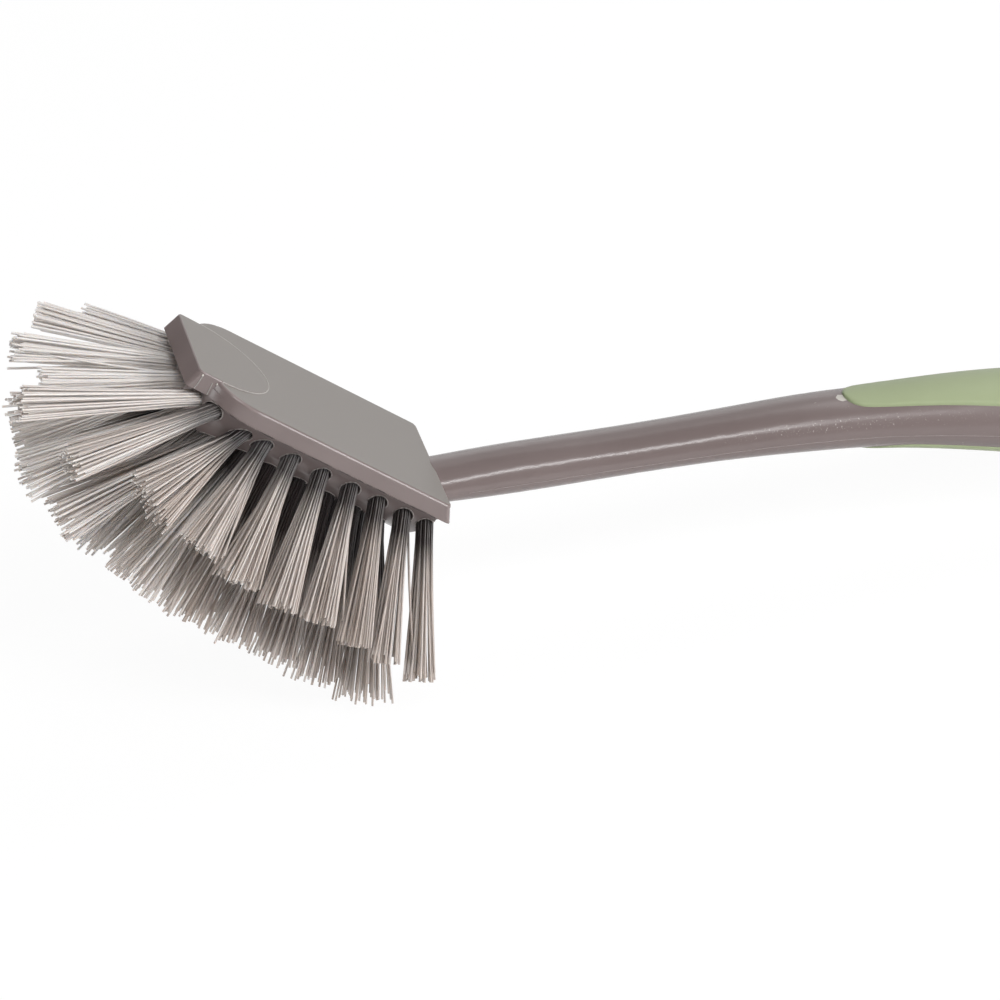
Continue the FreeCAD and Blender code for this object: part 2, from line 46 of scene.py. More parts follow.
# The head's own frame in the row frame: its top face is level there, X from lip to handle
headFrame = {
    "origin": Vector((-108.317, 0.0, 91.439)) * mm,
    "pitch": math.radians(40.967),
}
headTurn = Matrix.Rotation(headFrame["pitch"], 3, "Y")


def headPoint(along, across, up):
    return headFrame["origin"] + headTurn @ (Vector((along, across, up)) * mm)


def linear(hexColour):
    parts = [int(hexColour[i:i + 2], 16) / 255 for i in (1, 3, 5)]
    return [c / 12.92 if c <= 0.04045 else ((c + 0.055) / 1.055) ** 2.4 for c in parts] + [1.0]


# Of a Mix node's inputs, 2 and 3 are its two numbers, 4 and 5 its two vectors, and 6 and 7 its two colours
def addNode(tree, kind, inputs=None, **settings):
    node = tree.nodes.new(kind)
    for name, value in settings.items():
        setattr(node, name, value)
    for key, value in (inputs or {}).items():
        socket = node.inputs[key]
        if isinstance(value, bpy.types.Node):
            value = [output for output in value.outputs if output.enabled][0]
        if isinstance(value, bpy.types.NodeSocket):
            tree.links.new(value, socket)
        else:
            socket.default_value = value
    return node


def newMaterial(name):
    material = bpy.data.materials.new(name)
    material.use_nodes = True
    material.node_tree.nodes.clear()
    return material, material.node_tree


def newGeometryTree(name, sockets):
    tree = bpy.data.node_groups.new(name, "GeometryNodeTree")
    tree.is_modifier = True
    for socketName, kind in sockets:
        tree.interface.new_socket(socketName, in_out="INPUT", socket_type=kind)
    tree.interface.new_socket("Geometry", in_out="OUTPUT", socket_type="NodeSocketGeometry")
    return tree, addNode(tree, "NodeGroupInput").outputs


def meshObject(name, vertices, edges=(), faces=()):
    mesh = bpy.data.meshes.new(name)
    mesh.from_pydata(vertices, edges, faces)
    item = bpy.data.objects.new(name, mesh)
    scene.collection.objects.link(item)
    return item


def growFrom(item, tree, values):
    modifier = item.modifiers.new(tree.name, "NODES")
    modifier.node_group = tree
    for socket in tree.interface.items_tree:
        if socket.in_out == "INPUT" and socket.name in values:
            modifier[socket.identifier] = values[socket.name]
    plainMesh(item)


def plainMesh(item):
    graph = bpy.context.evaluated_depsgraph_get()
    made = bpy.data.meshes.new_from_object(item.evaluated_get(graph))
    item.modifiers.clear()
    item.data = made
    made.name = item.name


def between(ends):
    return {"From Min": ends[0], "From Max": ends[1]}


# Satin polypropylene, injection moulded: mauve grey and softly polished, with faint flow clouding. The head's
# top face comes from spark-eroded steel, so it is matt and greyer. Hands have dulled and scratched the grip;
# painted shade darkens it, and painted glints whiten the scratches on the side where the highlight streak
# lies
moulding = {
    "ior": 1.49,
    "polished": "#887b79",
    "clouded": "#817472",
    "gripped": "#7d706e",
    "matt": "#898480",
    "rubbed": "#b3aaa7",
    "fleck": "#e2ddd9",
    "chip": "#cbc6be",                    # torn skin beside the top pad's tip
    "polishedRoughness": 0.21,
    "wornRoughness": 0.268,
    "mattRoughness": 0.5,
    "scuffRoughness": 0.4,
    "polishedTooth": 0.012,
    "mattTooth": 0.1,
    "handledTooth": 0.42,
    "toothDepth": 0.05 * mm,
    "grainSize": 0.35 * mm,
    "cloudSize": 22 * mm,
    "scuffSize": 1.3 * mm,
    "fleckSize": 0.5 * mm,
    "cloudLevels": (0.35, 0.7),           # noise levels where a mark starts and where it is whole
    "scuffLevels": (0.66, 0.8),
    "fleckLevels": (0.6, 0.69),
    "scuffWeight": 0.25,
    "handledScuffWeight": 0.45,           # more of it on the grip
    "fleckWeight": 0.8,
    "fleckFarWeight": 0.15,
    "fleckFacing": (-0.05, -0.82, 0.57),  # painted glints on scratches lie on the side that faces this way, where the highlight streak runs
    "fleckFacingLevels": (0.955, 0.99),
    "topFaceDepth": 0.6 * mm,             # the matt face lies above this depth in the head's frame
    "mattFacingLevels": (0.93, 0.985),    # and only where it faces up, so its rounded edges are polished
    "headLength": 66.7 * mm,
    "darkened": (-45 * mm, 5 * mm),       # along the row frame's X, painted shade darkens the skin here,
    "worn": (-4 * mm, 34 * mm),           # hands have dulled it here,
    "handled": (4 * mm, 18 * mm),         # given it a tooth here,
    "fleckFade": (30 * mm, 64 * mm),      # and the painted glints on scratches thin out here
    "chipPlace": Vector((35.7, -0.7, 44.1)) * mm,
    "chipRadius": 1.95 * mm,
    "chipRagged": 1.4 * mm,
    "chipGrain": 1.1 * mm,
}


def mouldedPolypropylene():
    material, tree = newMaterial("satinMouldedPolypropylene")
    coordinates = addNode(tree, "ShaderNodeTexCoord").outputs
    place, normal = coordinates["Object"], coordinates["Normal"]
    along = addNode(tree, "ShaderNodeSeparateXYZ", {0: place}).outputs["X"]

    # Where the matt top face is
    inHead = addNode(tree, "ShaderNodeMapping", {
        "Vector": place, "Location": headFrame["origin"], "Rotation": (0, headFrame["pitch"], 0)},
        vector_type="TEXTURE")
    headPlace = addNode(tree, "ShaderNodeSeparateXYZ", {0: inHead}).outputs
    onTop = addNode(tree, "ShaderNodeMapRange", {
        "Value": headPlace["Z"], **between((-moulding["topFaceDepth"], 0.0))})
    onHead = addNode(tree, "ShaderNodeMath", {
        0: headPlace["X"], 1: moulding["headLength"]}, operation="LESS_THAN")
    upward = addNode(tree, "ShaderNodeVectorMath", {
        0: normal, 1: headTurn @ Vector((0, 0, 1))}, operation="DOT_PRODUCT").outputs["Value"]
    facing = addNode(tree, "ShaderNodeMapRange", {"Value": upward, **between(moulding["mattFacingLevels"])})
    above = addNode(tree, "ShaderNodeMath", {0: onTop, 1: onHead}, operation="MULTIPLY")
    matt = addNode(tree, "ShaderNodeMath", {0: above, 1: facing}, operation="MULTIPLY")

    # How far hands have changed the skin along the handle, and how far painted shade darkens it
    darkened = addNode(tree, "ShaderNodeMapRange", {"Value": along, **between(moulding["darkened"])})
    handled = addNode(tree, "ShaderNodeMapRange", {"Value": along, **between(moulding["handled"])})
    dulled = addNode(tree, "ShaderNodeMapRange", {
        "Value": along, **between(moulding["worn"])}, interpolation_type="SMOOTHSTEP")

    # Clouded and matt skin, darkened along the grip by painted shade
    cloud = addNode(tree, "ShaderNodeTexNoise", {
        "Vector": place, "Scale": 1 / moulding["cloudSize"], "Detail": 3.0, "Roughness": 0.55})
    tint = addNode(tree, "ShaderNodeMapRange", {"Value": cloud, **between(moulding["cloudLevels"])})
    polished = addNode(tree, "ShaderNodeMix", {
        0: tint, 6: linear(moulding["polished"]), 7: linear(moulding["clouded"])}, data_type="RGBA")
    gripped = addNode(tree, "ShaderNodeMix", {
        0: darkened, 6: polished, 7: linear(moulding["gripped"])}, data_type="RGBA")
    base = addNode(tree, "ShaderNodeMix", {
        0: matt, 6: gripped, 7: linear(moulding["matt"])}, data_type="RGBA")

    # Pale scuffs all over, more of them on the grip
    scuff = addNode(tree, "ShaderNodeTexNoise", {
        "Vector": place, "Scale": 1 / moulding["scuffSize"], "Detail": 6.0, "Roughness": 0.75,
        "Distortion": 1.2})
    scuffMost = addNode(tree, "ShaderNodeMath", {
        0: handled, 1: moulding["handledScuffWeight"], 2: moulding["scuffWeight"]}, operation="MULTIPLY_ADD")
    scuffed = addNode(tree, "ShaderNodeMapRange", {
        "Value": scuff, **between(moulding["scuffLevels"]), "To Max": scuffMost})
    worn = addNode(tree, "ShaderNodeMix", {
        0: scuffed, 6: base, 7: linear(moulding["rubbed"])}, data_type="RGBA")

    # Painted glints: bright flecks on scratches along the side of the grip where the highlight streak runs
    fleck = addNode(tree, "ShaderNodeTexNoise", {
        "Vector": place, "Scale": 1 / moulding["fleckSize"], "Detail": 4.0, "Roughness": 0.7})
    bright = addNode(tree, "ShaderNodeMapRange", {
        "Value": fleck, **between(moulding["fleckLevels"]), "To Max": moulding["fleckWeight"]})
    fading = addNode(tree, "ShaderNodeMapRange", {
        "Value": along, **between(moulding["fleckFade"]),
        "To Min": 1.0, "To Max": moulding["fleckFarWeight"]})
    busy = addNode(tree, "ShaderNodeMath", {0: handled, 1: fading}, operation="MULTIPLY")
    toward = addNode(tree, "ShaderNodeVectorMath", {
        0: normal, 1: moulding["fleckFacing"]}, operation="DOT_PRODUCT").outputs["Value"]
    scratchGlintSide = addNode(tree, "ShaderNodeMapRange", {
        "Value": toward, **between(moulding["fleckFacingLevels"]), "To Max": busy})
    scratchGlinted = addNode(tree, "ShaderNodeMath", {0: bright, 1: scratchGlintSide}, operation="MULTIPLY")
    marked = addNode(tree, "ShaderNodeMix", {
        0: scratchGlinted, 6: worn, 7: linear(moulding["fleck"])}, data_type="RGBA")

    # The chip, a ball round its place with a ragged edge
    fromChip = addNode(tree, "ShaderNodeVectorMath", {
        0: place, 1: moulding["chipPlace"]}, operation="DISTANCE").outputs["Value"]
    edge = addNode(tree, "ShaderNodeTexNoise", {
        "Vector": place, "Scale": 1 / moulding["chipGrain"], "Detail": 3.0})
    ragged = addNode(tree, "ShaderNodeMath", {
        0: edge, 1: moulding["chipRagged"], 2: fromChip}, operation="MULTIPLY_ADD")
    chipped = addNode(tree, "ShaderNodeMath", {0: ragged, 1: moulding["chipRadius"]}, operation="LESS_THAN")
    skin = addNode(tree, "ShaderNodeMix", {
        0: chipped, 6: marked, 7: linear(moulding["chip"])}, data_type="RGBA")

    # Gloss and tooth
    dullness = addNode(tree, "ShaderNodeMix", {
        0: dulled, 2: moulding["polishedRoughness"], 3: moulding["wornRoughness"]})
    gloss = addNode(tree, "ShaderNodeMix", {0: matt, 2: dullness, 3: moulding["mattRoughness"]})
    rough = addNode(tree, "ShaderNodeMath", {
        0: scuffed, 1: moulding["scuffRoughness"], 2: gloss}, operation="MULTIPLY_ADD")
    grain = addNode(tree, "ShaderNodeTexNoise", {
        "Vector": place, "Scale": 1 / moulding["grainSize"], "Detail": 2.0, "Roughness": 0.6})
    tooth = addNode(tree, "ShaderNodeMath", {
        0: matt, 1: moulding["mattTooth"], 2: moulding["polishedTooth"]}, operation="MULTIPLY_ADD")
    toothed = addNode(tree, "ShaderNodeMath", {
        0: handled, 1: moulding["handledTooth"], 2: tooth}, operation="MULTIPLY_ADD")
    bump = addNode(tree, "ShaderNodeBump", {
        "Height": grain, "Strength": toothed, "Distance": moulding["toothDepth"]})
    shader = addNode(tree, "ShaderNodeBsdfPrincipled", {
        "Base Color": skin, "Roughness": rough, "IOR": moulding["ior"], "Normal": bump})
    addNode(tree, "ShaderNodeOutputMaterial", {"Surface": shader})
    return material


# Polypropylene stretched until it pales, in patches, and pale seams and specks that are painted highlights;
# and mould flash dark with painted shade
patchySkin = {
    "whitened": dict(low="#8d817e", high="#c6beba", size=0.8 * mm, levels=(0.35, 0.65), roughness=0.4),
    "rubbed": dict(low="#a5a09c", high="#b4afab", size=0.8 * mm, levels=(0.35, 0.65), roughness=0.4),
    "partingLine": dict(low="#948886", high="#a39896", size=0.8 * mm, levels=(0.35, 0.65), roughness=0.4),
    "torn": dict(low="#c9c4bb", high="#eeebe4", size=0.8 * mm, levels=(0.35, 0.65), roughness=0.4),
    "grimy": dict(low="#3f3533", high="#6d615e", size=2.5 * mm, levels=(0.4, 0.62), roughness=0.6),
}


def patchyPolypropylene(name):
    own = patchySkin[name]
    material, tree = newMaterial(name + "Polypropylene")
    place = addNode(tree, "ShaderNodeTexCoord").outputs["Object"]
    patch = addNode(tree, "ShaderNodeTexNoise", {
        "Vector": place, "Scale": 1 / own["size"], "Detail": 3.0})
    share = addNode(tree, "ShaderNodeMapRange", {"Value": patch, **between(own["levels"])})
    tint = addNode(tree, "ShaderNodeMix", {
        0: share, 6: linear(own["low"]), 7: linear(own["high"])}, data_type="RGBA")
    shader = addNode(tree, "ShaderNodeBsdfPrincipled", {
        "Base Color": tint, "Roughness": own["roughness"], "IOR": moulding["ior"]})
    addNode(tree, "ShaderNodeOutputMaterial", {"Surface": shader})
    return material


# Soft-touch thermoplastic rubber, overmoulded: dull sage green with a fine matt tooth
gripRubber = {
    "colour": "#a4af89",
    "shade": "#9ba680",
    "ior": 1.48,
    "sheen": 0.1,
    "roughness": (0.42, 0.58),
    "toothSize": 0.3 * mm,
    "toothDepth": 0.05 * mm,
    "toothStrength": 0.25,
    "cloudSize": 9 * mm,
}


def softGripRubber():
    material, tree = newMaterial("softTouchGripRubber")
    place = addNode(tree, "ShaderNodeTexCoord").outputs["Object"]
    cloud = addNode(tree, "ShaderNodeTexNoise", {
        "Vector": place, "Scale": 1 / gripRubber["cloudSize"], "Detail": 3.0})
    tooth = addNode(tree, "ShaderNodeTexNoise", {
        "Vector": place, "Scale": 1 / gripRubber["toothSize"], "Detail": 2.0})
    base = addNode(tree, "ShaderNodeMix", {
        0: cloud, 6: linear(gripRubber["colour"]), 7: linear(gripRubber["shade"])}, data_type="RGBA")
    smoothest, roughest = gripRubber["roughness"]
    rough = addNode(tree, "ShaderNodeMapRange", {"Value": tooth, "To Min": smoothest, "To Max": roughest})
    bump = addNode(tree, "ShaderNodeBump", {
        "Height": tooth, "Strength": gripRubber["toothStrength"], "Distance": gripRubber["toothDepth"]})
    shader = addNode(tree, "ShaderNodeBsdfPrincipled", {
        "Base Color": base, "Roughness": rough, "IOR": gripRubber["ior"],
        "Sheen Weight": gripRubber["sheen"], "Normal": bump})
    addNode(tree, "ShaderNodeOutputMaterial", {"Surface": shader})
    return material


# Extruded PBT filament: pale warm grey, waxy, each strand a little lighter or darker, darkened near its hole
# by painted shade.
# Where the trimming knife cut it, it is whitened and dull, and the paler cut ends also carry painted light on
# the backlit tips
filament = {
    "light": "#f6f1ee",
    "dark": "#9a897d",
    # painted shade at the roots
    "soil": "#282120",
    # paler cut ends: whitened by the knife, and painted light on the backlit tips
    "cutLight": "#fbf9f7",
    "cutDark": "#cfc8c1",
    "ior": 1.55,
    "roughness": 0.3,
    "cutRoughness": 0.6,
    "waxiness": 0.35,
    "waxDepth": 0.4 * mm,
    "waxReach": (1.0, 0.86, 0.72),  # of red, green and blue light
}


def pbtFilament():
    material, tree = newMaterial("extrudedPbtFilament")
    soil = addNode(tree, "ShaderNodeAttribute", attribute_name="strandSoil").outputs["Fac"]
    tone = addNode(tree, "ShaderNodeAttribute", attribute_name="strandTone").outputs["Fac"]
    strand = addNode(tree, "ShaderNodeMix", {
        0: tone, 6: linear(filament["dark"]), 7: linear(filament["light"])}, data_type="RGBA")
    # Painted shade darkens each strand towards its root
    colour = addNode(tree, "ShaderNodeMix", {
        0: soil, 6: strand, 7: linear(filament["soil"])}, data_type="RGBA")
    shader = addNode(tree, "ShaderNodeBsdfPrincipled", {
        "Base Color": colour, "Roughness": filament["roughness"], "IOR": filament["ior"],
        "Subsurface Weight": filament["waxiness"], "Subsurface Radius": filament["waxReach"],
        "Subsurface Scale": filament["waxDepth"]})
    addNode(tree, "ShaderNodeOutputMaterial", {"Surface": shader})
    return material


def cutFilament():
    material, tree = newMaterial("cutPbtFilament")
    tone = addNode(tree, "ShaderNodeAttribute", attribute_name="strandTone").outputs["Fac"]
    tint = addNode(tree, "ShaderNodeMix", {
        0: tone, 6: linear(filament["cutDark"]), 7: linear(filament["cutLight"])}, data_type="RGBA")
    shader = addNode(tree, "ShaderNodeBsdfPrincipled", {
        "Base Color": tint, "Roughness": filament["cutRoughness"], "IOR": filament["ior"]})
    addNode(tree, "ShaderNodeOutputMaterial", {"Surface": shader})
    return material


# Drawn flat steel wire: bright, with a fine uneven gloss from the die
anchorWire = {"colour": "#b9b9bb", "markSize": 0.2 * mm, "roughness": (0.25, 0.45)}


def drawnSteelWire():
    material, tree = newMaterial("drawnSteelWire")
    place = addNode(tree, "ShaderNodeTexCoord").outputs["Object"]
    marks = addNode(tree, "ShaderNodeTexNoise", {
        "Vector": place, "Scale": 1 / anchorWire["markSize"], "Detail": 2.0})
    smoothest, roughest = anchorWire["roughness"]
    rough = addNode(tree, "ShaderNodeMapRange", {"Value": marks, "To Min": smoothest, "To Max": roughest})
    shader = addNode(tree, "ShaderNodeBsdfPrincipled", {
        "Base Color": linear(anchorWire["colour"]), "Metallic": 1.0, "Roughness": rough})
    addNode(tree, "ShaderNodeOutputMaterial", {"Surface": shader})
    return material


def dress(node, material):
    node.data.materials.clear()
    node.data.materials.append(material)


dress(nodes["head_and_handle"], mouldedPolypropylene())
dress(nodes["anchor_wires"], drawnSteelWire())
print("moulding and wires dressed")


# Grip pads: the CAD pads with their edges softened, as rubber leaves the mould
gripPad = {
    "voxel": 0.34 * mm,
    "rounding": 9,            # smoothing steps, about 0.6 mm of edge radius
    "stepShare": 0.5,
    "weld": 0.002 * mm,       # corners nearer than this are one
}


def buildPads():
    rubber = softGripRubber()
    for name, node in (("gripPadTop", "grip_pad_top"), ("gripPadUnder", "grip_pad_under")):
        item = bpy.data.objects.new(name, nodes[node].data.copy())
        scene.collection.objects.link(item)
        shell = bmesh.new()
        shell.from_mesh(item.data)
        bmesh.ops.remove_doubles(shell, verts=shell.verts, dist=gripPad["weld"])
        shell.to_mesh(item.data)
        shell.free()
        remesh = item.modifiers.new("remesh", "REMESH")
        remesh.mode = "VOXEL"
        remesh.voxel_size = gripPad["voxel"]
        soften = item.modifiers.new("soften", "SMOOTH")
        soften.factor = gripPad["stepShare"]
        soften.iterations = gripPad["rounding"]
        plainMesh(item)
        item.data.shade_smooth()
        dress(item, rubber)
        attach(item, "root")
        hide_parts(node)


buildPads()
print("grip pads softened")


# Tufts: every CAD cone becomes a bundle of loose filaments in the same place
tuftBundle = {
    "filaments": 50,
    "filamentRadius": 0.26 * mm,
    "stations": 7,
    "sides": 6,
    "wireTop": 2.8 * mm,      # the bundle starts just above its anchor wire
    "holeDepth": 5.5 * mm,
    "collar": 1.6 * mm,
    "rootRadius": 1.8 * mm,
    "ragged": 0.07,           # share of the length that the shortest strands miss
    "wander": 0.3 * mm,
    "clump": 1.0 * mm,        # neighbours that lean together and leave gaps
    "bow": 0.2 * mm,
    "strayShare": 0.05,
    "strayReach": 4.2 * mm,
    "sway": 0.5 * mm,         # how far use has pushed a whole tuft's tip
    "shortPower": 2.0,        # most strands miss little of the length
    "fanPower": 1.15,         # the fan opens a little late
    "clumpScale": 1.6,
    "soilDrift": (-0.1, 0.12),  # how much further down or up the painted root shade ends on a strand
    "seedStep": 10,
}
# For each row: tip width along and across it against the CAD cone, painted shade at the root and the shares
# of the length that it fades between, and the range of tones, where 1 is the whitest strand
tuftRows = {
    "outer": dict(fan=(1.15, 1.05), soil=1.0, fade=(0.12, 0.46), tone=(0.15, 0.5)),
    "inner": dict(fan=(1.7, 1.3), soil=1.0, fade=(0.28, 0.72), tone=(0.2, 0.65)),
    "centre": dict(fan=(1.7, 1.3), soil=1.0, fade=(0.28, 0.72), tone=(0.2, 0.65)),
    # The nose rows' pale tones and light root shade are painted light, standing for light through the backlit
    # strands
    "nose_corner": dict(fan=(0.9, 0.9), soil=0.2, fade=(0.1, 0.4), tone=(0.8, 1.0)),
    "nose_front": dict(fan=(0.9, 0.9), soil=0.2, fade=(0.1, 0.4), tone=(0.8, 1.0)),
    "nose_middle": dict(fan=(0.95, 0.95), soil=0.25, fade=(0.1, 0.4), tone=(0.8, 1.0)),
    "nose_under": dict(fan=(1.6, 1.4), soil=0.35, fade=(0.1, 0.42), tone=(0.7, 1.0)),
}
# Single tufts that use has spread or pushed (mm in the head's frame), and tufts given their own painted root
# shade and tones, which carry painted light and shade
tuftOnes = {
    "tuft_left_outer_1": dict(fan=(2.2, 1.3), fade=(0.18, 0.5), tone=(0.2, 0.6), push=(-2.0, 0.0, 3.4)),
    "tuft_left_outer_2": dict(fan=(1.6, 1.2), fade=(0.18, 0.5), tone=(0.2, 0.6), push=(2.0, 0.0, 1.6)),
    "tuft_left_outer_3": dict(fan=(1.4, 1.15), push=(1.0, 0.0, 1.6)),
    "tuft_left_outer_4": dict(fan=(1.3, 1.1), push=(-3.6, 0.0, 1.1)),
    "tuft_left_outer_5": dict(fan=(1.2, 1.1), push=(-3.6, 0.0, 1.1)),
    "tuft_left_outer_6": dict(fan=(1.2, 1.1), push=(-3.6, 0.0, 1.1)),
    "tuft_left_outer_7": dict(fan=(0.95, 1.1), push=(-3.6, 0.0, 1.1)),
    "tuft_left_outer_8": dict(fan=(0.95, 1.1), push=(-3.6, 0.0, 1.1)),
    "tuft_left_inner_1": dict(fan=(1.9, 1.5), soil=0.8, fade=(0.1, 0.48), tone=(0.45, 0.95)),
    "tuft_left_inner_2": dict(fan=(2.0, 1.5), fade=(0.15, 0.52), tone=(0.35, 0.9)),
    "tuft_left_inner_7": dict(fan=(1.9, 1.4), push=(1.5, 0.0, 0.8)),
    "tuft_centre_1": dict(fan=(2.1, 1.7), soil=0.8, fade=(0.15, 0.52), tone=(0.5, 1.0)),
    "tuft_centre_2": dict(fan=(2.0, 1.6), fade=(0.15, 0.52), tone=(0.4, 0.95)),
    "tuft_left_nose_corner": dict(fan=(1.1, 1.05), soil=0.9, fade=(0.08, 0.5), tone=(0.35, 0.85)),
    "tuft_left_nose_front": dict(fan=(1.1, 1.05), soil=0.1, tone=(0.5, 0.75)),
    "tuft_left_nose_middle": dict(push=(1.0, -1.0, -1.0)),
    "tuft_right_nose_corner": dict(push=(3.0, -1.0, -2.6)),
    "tuft_right_nose_front": dict(push=(-0.6, -1.0, -1.6)),
    "tuft_right_nose_middle": dict(push=(1.4, -1.0, -1.2)),
}


def filamentTree(material, cutMaterial):
    tree, given = newGeometryTree("tuftFilaments", (
        ("Filaments", "NodeSocketInt"), ("Seed", "NodeSocketInt"),
        ("Root", "NodeSocketVector"), ("Tip", "NodeSocketVector"), ("Row", "NodeSocketVector"),
        ("Straight", "NodeSocketFloat"),
        ("Root Reach", "NodeSocketVector"), ("Tip Reach", "NodeSocketVector"),
        ("Filament Radius", "NodeSocketFloat"), ("Ragged", "NodeSocketFloat"),
        ("Wander", "NodeSocketFloat"), ("Clump", "NodeSocketFloat"), ("Bow", "NodeSocketFloat"),
        ("Soil", "NodeSocketFloat"), ("Soil Start", "NodeSocketFloat"), ("Soil End", "NodeSocketFloat"),
        ("Darkest", "NodeSocketFloat"), ("Lightest", "NodeSocketFloat"),
        ("Stray Share", "NodeSocketFloat"), ("Stray Reach", "NodeSocketFloat"),
    ))
    # Straight strands, one curve each
    line = addNode(tree, "GeometryNodeCurvePrimitiveLine", {"Start": (0, 0, 0), "End": (0, 0, 1)})
    spaced = addNode(tree, "GeometryNodeResampleCurve", {"Curve": line, "Count": tuftBundle["stations"]})
    points = addNode(tree, "GeometryNodePoints", {"Count": given["Filaments"]})
    copies = addNode(tree, "GeometryNodeInstanceOnPoints", {"Points": points, "Instance": spaced})
    strands = addNode(tree, "GeometryNodeRealizeInstances", {"Geometry": copies})
    strand = addNode(tree, "GeometryNodeCurveOfPoint").outputs["Curve Index"]
    share = addNode(tree, "GeometryNodeSplineParameter").outputs["Factor"]
    seeds = [addNode(tree, "FunctionNodeIntegerMath", {0: given["Seed"], 1: i}, operation="ADD")
             for i in range(5)]
    sideways = {0: (-1, -1, 0), 1: (1, 1, 0), "ID": strand}

    # Height along the tuft, and how far the strand has fanned out there
    axis = addNode(tree, "ShaderNodeVectorMath", {0: given["Tip"], 1: given["Root"]}, operation="SUBTRACT")
    length = addNode(tree, "ShaderNodeVectorMath", {0: axis}, operation="LENGTH").outputs["Value"]
    short = addNode(tree, "FunctionNodeRandomValue", {"ID": strand, "Seed": seeds[0]}, data_type="FLOAT")
    shorter = addNode(tree, "ShaderNodeMath", {0: short, 1: tuftBundle["shortPower"]}, operation="POWER")
    missing = addNode(tree, "ShaderNodeMath", {0: shorter, 1: given["Ragged"]}, operation="MULTIPLY")
    trim = addNode(tree, "ShaderNodeMath", {0: 1.0, 1: missing}, operation="SUBTRACT")
    full = addNode(tree, "ShaderNodeMath", {0: share, 1: length}, operation="MULTIPLY")
    height = addNode(tree, "ShaderNodeMath", {0: full, 1: trim}, operation="MULTIPLY")
    past = addNode(tree, "ShaderNodeMapRange", {"Value": height, 1: given["Straight"], 2: length})
    fan = addNode(tree, "ShaderNodeMath", {0: past, 1: tuftBundle["fanPower"]}, operation="POWER")

    # Packed in the round hole by the golden angle, then spread
    rank = addNode(tree, "ShaderNodeMath", {0: strand, 1: 0.5}, operation="ADD")
    rankShare = addNode(tree, "ShaderNodeMath", {0: rank, 1: given["Filaments"]}, operation="DIVIDE")
    ring = addNode(tree, "ShaderNodeMath", {0: rankShare}, operation="SQRT")
    outward = addNode(tree, "ShaderNodeCombineXYZ", {"X": ring})
    goldenAngle = math.pi * (3 - math.sqrt(5))
    angle = addNode(tree, "ShaderNodeMath", {0: strand, 1: goldenAngle}, operation="MULTIPLY")
    disc = addNode(tree, "ShaderNodeVectorRotate", {
        "Vector": outward, "Angle": angle}, rotation_type="Z_AXIS")
    reach = addNode(tree, "ShaderNodeMix", {
        0: fan, 4: given["Root Reach"], 5: given["Tip Reach"]}, data_type="VECTOR")
    packed = addNode(tree, "ShaderNodeVectorMath", {0: disc, 1: reach}, operation="MULTIPLY")
    climb = addNode(tree, "ShaderNodeCombineXYZ", {"Z": height})
    raised = addNode(tree, "ShaderNodeVectorMath", {0: packed, 1: climb}, operation="ADD")

    # Loose strands drift, neighbours clump together, and each one bows a little
    luck = addNode(tree, "FunctionNodeRandomValue", {"ID": strand, "Seed": seeds[1]}, data_type="FLOAT")
    isStray = addNode(tree, "ShaderNodeMath", {0: luck, 1: given["Stray Share"]}, operation="LESS_THAN")
    loose = addNode(tree, "ShaderNodeMath", {
        0: isStray, 1: given["Stray Reach"], 2: given["Wander"]}, operation="MULTIPLY_ADD")
    looseFan = addNode(tree, "ShaderNodeMath", {0: loose, 1: fan}, operation="MULTIPLY")
    drift = addNode(tree, "FunctionNodeRandomValue", {
        **sideways, "Seed": seeds[2]}, data_type="FLOAT_VECTOR")
    drifted = addNode(tree, "ShaderNodeVectorMath", {
        0: drift, 1: looseFan, 2: raised}, operation="MULTIPLY_ADD")
    group = addNode(tree, "ShaderNodeTexNoise", {
        "Vector": disc, "W": given["Seed"], "Scale": tuftBundle["clumpScale"], "Detail": 1.0},
        noise_dimensions="4D")
    lean = addNode(tree, "ShaderNodeVectorMath", {
        0: group.outputs["Color"], 1: (0.5, 0.5, 0.5)}, operation="SUBTRACT")
    flatLean = addNode(tree, "ShaderNodeVectorMath", {0: lean, 1: (2, 2, 0)}, operation="MULTIPLY")
    clumpFan = addNode(tree, "ShaderNodeMath", {0: given["Clump"], 1: fan}, operation="MULTIPLY")
    clumped = addNode(tree, "ShaderNodeVectorMath", {
        0: flatLean, 1: clumpFan, 2: drifted}, operation="MULTIPLY_ADD")
    halfTurn = addNode(tree, "ShaderNodeMath", {0: past, 1: math.pi}, operation="MULTIPLY")
    belly = addNode(tree, "ShaderNodeMath", {0: halfTurn}, operation="SINE")
    bellied = addNode(tree, "ShaderNodeMath", {0: belly, 1: given["Bow"]}, operation="MULTIPLY")
    bend = addNode(tree, "FunctionNodeRandomValue", {
        **sideways, "Seed": seeds[3]}, data_type="FLOAT_VECTOR")
    bowed = addNode(tree, "ShaderNodeVectorMath", {
        0: bend, 1: bellied, 2: clumped}, operation="MULTIPLY_ADD")
    shaped = addNode(tree, "GeometryNodeSetPosition", {"Geometry": strands, "Position": bowed})

    # Into place: local Z along the tuft, local X along the row
    upright = addNode(tree, "FunctionNodeAlignRotationToVector", {"Vector": axis}, axis="Z")
    turn = addNode(tree, "FunctionNodeAlignRotationToVector", {
        "Rotation": upright, "Vector": given["Row"]}, axis="X", pivot_axis="Z")
    placed = addNode(tree, "GeometryNodeTransform", {
        "Geometry": shaped, "Translation": given["Root"], "Rotation": turn})
